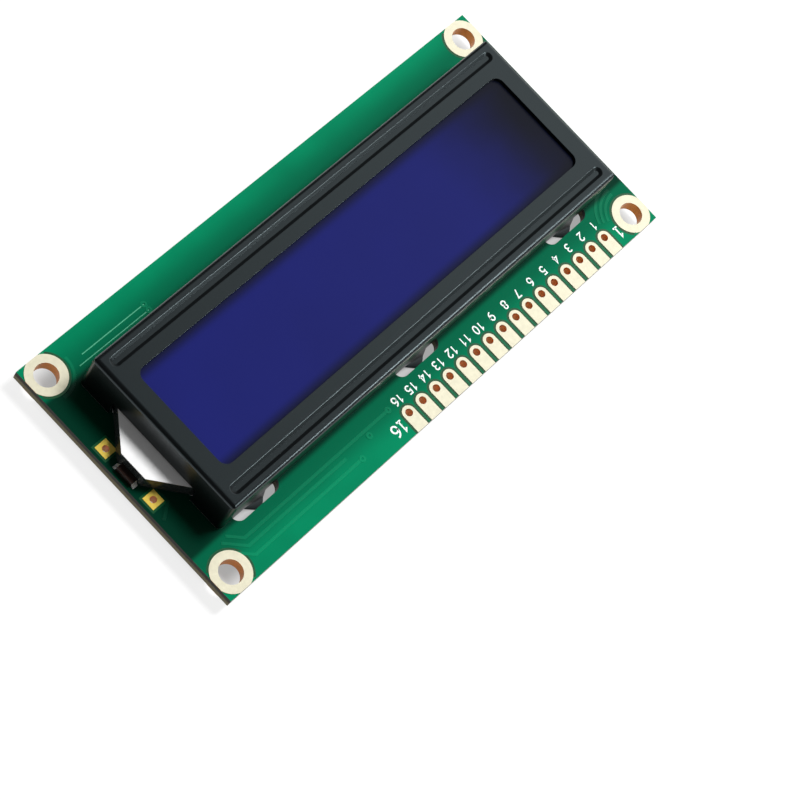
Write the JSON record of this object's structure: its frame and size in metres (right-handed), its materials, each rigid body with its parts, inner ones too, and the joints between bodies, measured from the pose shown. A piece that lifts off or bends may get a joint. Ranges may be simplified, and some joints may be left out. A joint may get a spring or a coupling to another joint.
{
  "type": "character lcd module",
  "caption": "Character display module: a blue glass panel in a black stamped steel bezel on a green circuit board with a plated header row and corner mounting holes.",
  "frame": {"origin": "centre of the mounting-hole pattern, on the top face of the circuit board", "axes": "+X along the board towards the LED end, +Y towards the header edge, +Z out of the display"},
  "size_m": [0.08, 0.036, 0.0102],
  "materials": {
    "board": "satin",
    "plating": "satin",
    "bare_gold": "satin",
    "bezel_steel": "satin",
    "display_film": "satin",
    "glass": "polished",
    "seal": "matte",
    "rear_film": "satin",
    "strip_rubber": "matte",
    "white_film": "matte",
    "acrylic": "gloss",
    "led": "gloss",
    "solder": "satin",
    "silicon": "gloss",
    "resin": "satin",
    "resistor": "satin",
    "capacitor": "satin"
  },
  "bodies": {
    "root": {"circuit_board": "board", "mounting_rings": "plating", "header_pads": "plating", "backlight_pads": "bare_gold", "bezel": "bezel_steel", "front_polariser": "display_film", "front_glass": "glass", "cell_seal": "seal", "fill_port_plug": "seal", "rear_glass": "glass", "rear_polariser": "rear_film", "contact_strip_header_side": "strip_rubber", "contact_strip_far_side": "strip_rubber", "diffuser_film": "white_film", "light_guide": "acrylic", "reflector_film": "white_film", "tail_film": "white_film", "backlight_led": "led", "led_joints": "solder", "controller_die": "silicon", "controller_cap": "resin", "driver_die": "silicon", "driver_cap": "resin", "bias_resistor_1": "resistor", "bias_resistor_2": "resistor", "bias_resistor_3": "resistor", "bias_resistor_4": "resistor", "bias_resistor_5": "resistor", "oscillator_resistor": "resistor", "backlight_resistor": "resistor", "supply_capacitor": "capacitor", "bias_capacitor": "capacitor", "chip_joints": "solder"}
  },
  "joints": []
}
